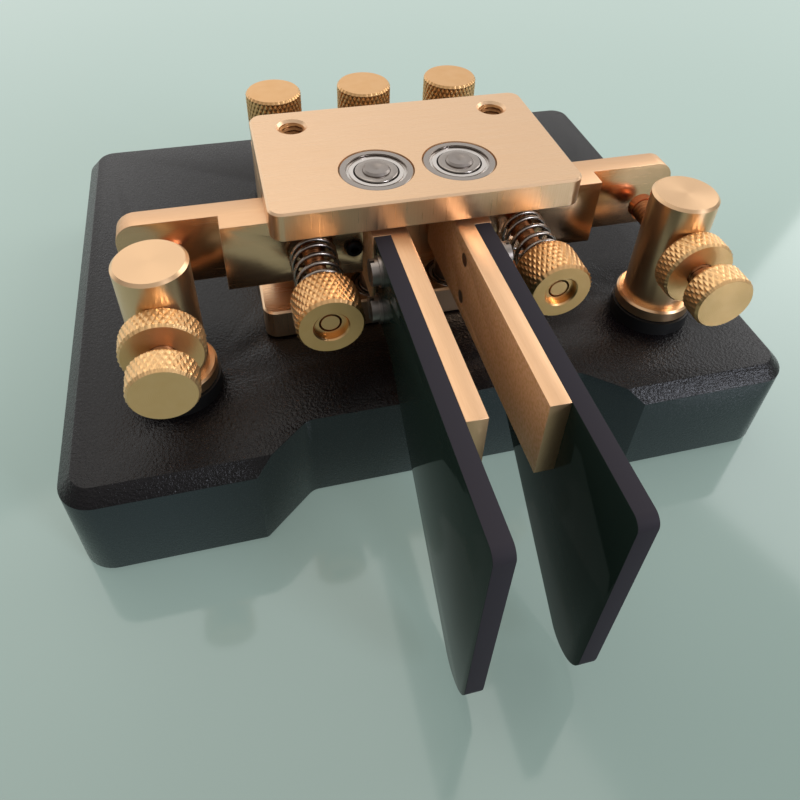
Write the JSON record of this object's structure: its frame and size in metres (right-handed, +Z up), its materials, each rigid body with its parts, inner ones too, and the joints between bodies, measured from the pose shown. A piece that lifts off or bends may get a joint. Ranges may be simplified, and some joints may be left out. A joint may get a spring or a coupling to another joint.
{
  "type": "twin-lever telegraph key",
  "caption": "Squeeze-type paddle telegraph key: finger blades on L-shaped pivoting levers, knurled contact and tension screws, brass frame on a black base.",
  "frame": {"origin": "on the table under the centre of the key's footprint", "axes": "+X to the operator's right, +Y from the finger blades to the binding posts, +Z up"},
  "size_m": [0.109, 0.1186, 0.0442],
  "materials": {
    "wrinkle_coat": "wrinkle powder coat",
    "foot_rubber": "matte",
    "lacquered_brass": "turned or milled",
    "brushed_brass": "brushed along X",
    "knurled_brass": "knurled",
    "screw_steel": "bright zinc",
    "bearing_steel": "ground",
    "shield_steel": "pressed",
    "ground_steel": "ground",
    "spring_steel": "drawn wire",
    "black_steel": "black oxide",
    "contact_copper": "polished copper alloy",
    "finger_plastic": "polished",
    "bush_plastic": "moulded",
    "tinned_copper": "tinned",
    "wire_red": "insulation",
    "wire_green": "insulation",
    "wire_black": "insulation"
  },
  "bodies": {
    "frame": {"base": "wrinkle_coat", "base_feet": "foot_rubber", "bottom_plate": "lacquered_brass", "rear_block": "lacquered_brass", "top_plate": "brushed_brass", "frame_screws": "screw_steel", "bottom_plate_screws": "screw_steel", "bearing_outer_rings": "bearing_steel", "bearing_shields": "shield_steel", "bearing_balls": "bearing_steel", "contact_post_bushes": "bush_plastic", "contact_post_screws": "screw_steel", "binding_bushes": "bush_plastic", "binding_post_screws": "screw_steel", "wire_lugs": "tinned_copper", "left_wire": "wire_red", "right_wire": "wire_green", "common_wire": "wire_black", "left_tension_stud": "lacquered_brass", "left_tension_spring": "spring_steel", "left_contact_post": "lacquered_brass", "right_tension_stud": "lacquered_brass", "right_tension_spring": "spring_steel", "right_contact_post": "lacquered_brass", "left_binding_post": "lacquered_brass", "common_binding_post": "lacquered_brass", "right_binding_post": "lacquered_brass"},
    "left_lever": {"left_lever": "brushed_brass", "left_fingerpiece": "finger_plastic", "left_fingerpiece_screws": "screw_steel", "left_inner_rings": "bearing_steel", "left_pivot_pin": "ground_steel", "left_spacers": "ground_steel"},
    "left_stop_screw": {"left_stop_screw": "black_steel"},
    "left_contact_tip": {"left_contact_tip": "contact_copper"},
    "left_contact_screw": {"left_contact_screw": "knurled_brass"},
    "left_lock_nut": {"left_lock_nut": "knurled_brass"},
    "left_tension_nut": {"left_tension_nut": "knurled_brass"},
    "right_lever": {"right_lever": "brushed_brass", "right_fingerpiece": "finger_plastic", "right_fingerpiece_screws": "screw_steel", "right_inner_rings": "bearing_steel", "right_pivot_pin": "ground_steel", "right_spacers": "ground_steel"},
    "right_stop_screw": {"right_stop_screw": "black_steel"},
    "right_contact_tip": {"right_contact_tip": "contact_copper"},
    "right_contact_screw": {"right_contact_screw": "knurled_brass"},
    "right_lock_nut": {"right_lock_nut": "knurled_brass"},
    "right_tension_nut": {"right_tension_nut": "knurled_brass"},
    "left_binding_stud": {"left_binding_stud": "screw_steel"},
    "left_binding_cap": {"left_binding_cap": "knurled_brass"},
    "common_binding_stud": {"common_binding_stud": "screw_steel"},
    "common_binding_cap": {"common_binding_cap": "knurled_brass"},
    "right_binding_stud": {"right_binding_stud": "screw_steel"},
    "right_binding_cap": {"right_binding_cap": "knurled_brass"}
  },
  "joints": [
    {"name": "left_lever_swing", "type": "hinge", "parent": "frame", "child": "left_lever", "pos_m": [-0.0062, -0.00135, 0.0322], "axis": [0, 0, 1], "range_deg": [0, 0.9], "stiffness_Nm_per_rad": 0.026, "springref_deg": -11.23},
    {"name": "left_stop_turn", "type": "hinge", "parent": "left_lever", "child": "left_stop_screw", "pos_m": [-0.0101, -0.004, 0.0322], "axis": [0, -1, 0], "range_deg": [-180, 180]},
    {"name": "left_contact_advance", "type": "slide", "parent": "frame", "child": "left_contact_tip", "axis": [0, -1, 0], "range_m": [0, 0.00245]},
    {"name": "left_contact_turn", "type": "hinge", "parent": "left_contact_tip", "child": "left_contact_screw", "pos_m": [-0.038, -0.018, 0.0322], "axis": [0, -1, 0], "range_deg": [0, 1261]},
    {"name": "left_lock_nut_turn", "type": "hinge", "parent": "frame", "child": "left_lock_nut", "pos_m": [-0.038, -0.018, 0.0322], "axis": [0, -1, 0], "range_deg": [0, 90]},
    {"name": "left_tension_adjust", "type": "slide", "parent": "frame", "child": "left_tension_nut", "axis": [0, 1, 0], "range_m": [0, 0.002], "deforming": ["left_tension_spring"]},
    {"name": "right_lever_swing", "type": "hinge", "parent": "frame", "child": "right_lever", "pos_m": [0.0062, -0.00135, 0.0322], "axis": [0, 0, 1], "range_deg": [-0.9, 0], "stiffness_Nm_per_rad": 0.026, "springref_deg": 11.23},
    {"name": "right_stop_turn", "type": "hinge", "parent": "right_lever", "child": "right_stop_screw", "pos_m": [0.0101, -0.004, 0.0322], "axis": [0, -1, 0], "range_deg": [-180, 180]},
    {"name": "right_contact_advance", "type": "slide", "parent": "frame", "child": "right_contact_tip", "axis": [0, -1, 0], "range_m": [0, 0.00245]},
    {"name": "right_contact_turn", "type": "hinge", "parent": "right_contact_tip", "child": "right_contact_screw", "pos_m": [0.038, -0.018, 0.0322], "axis": [0, -1, 0], "range_deg": [0, 1261]},
    {"name": "right_lock_nut_turn", "type": "hinge", "parent": "frame", "child": "right_lock_nut", "pos_m": [0.038, -0.018, 0.0322], "axis": [0, -1, 0], "range_deg": [0, 90]},
    {"name": "right_tension_adjust", "type": "slide", "parent": "frame", "child": "right_tension_nut", "axis": [0, 1, 0], "range_m": [0, 0.002], "deforming": ["right_tension_spring"]},
    {"name": "left_binding_lift", "type": "slide", "parent": "frame", "child": "left_binding_stud", "axis": [0, 0, 1], "range_m": [0, 0.00225]},
    {"name": "left_binding_turn", "type": "hinge", "parent": "left_binding_stud", "child": "left_binding_cap", "pos_m": [-0.0168, 0.03675, 0.0348], "axis": [0, 0, 1], "range_deg": [0, 1621]},
    {"name": "common_binding_lift", "type": "slide", "parent": "frame", "child": "common_binding_stud", "axis": [0, 0, 1], "range_m": [0, 0.00225]},
    {"name": "common_binding_turn", "type": "hinge", "parent": "common_binding_stud", "child": "common_binding_cap", "pos_m": [0, 0.03675, 0.0348], "axis": [0, 0, 1], "range_deg": [0, 1621]},
    {"name": "right_binding_lift", "type": "slide", "parent": "frame", "child": "right_binding_stud", "axis": [0, 0, 1], "range_m": [0, 0.00225]},
    {"name": "right_binding_turn", "type": "hinge", "parent": "right_binding_stud", "child": "right_binding_cap", "pos_m": [0.0168, 0.03675, 0.0348], "axis": [0, 0, 1], "range_deg": [0, 1621]}
  ],
  "couplings": [
    {"joint": "left_contact_turn", "follows": "left_contact_advance", "rad_per_m": 8976},
    {"joint": "right_contact_turn", "follows": "right_contact_advance", "rad_per_m": 8976},
    {"joint": "left_binding_turn", "follows": "left_binding_lift", "rad_per_m": 12566},
    {"joint": "common_binding_turn", "follows": "common_binding_lift", "rad_per_m": 12566},
    {"joint": "right_binding_turn", "follows": "right_binding_lift", "rad_per_m": 12566}
  ]
}
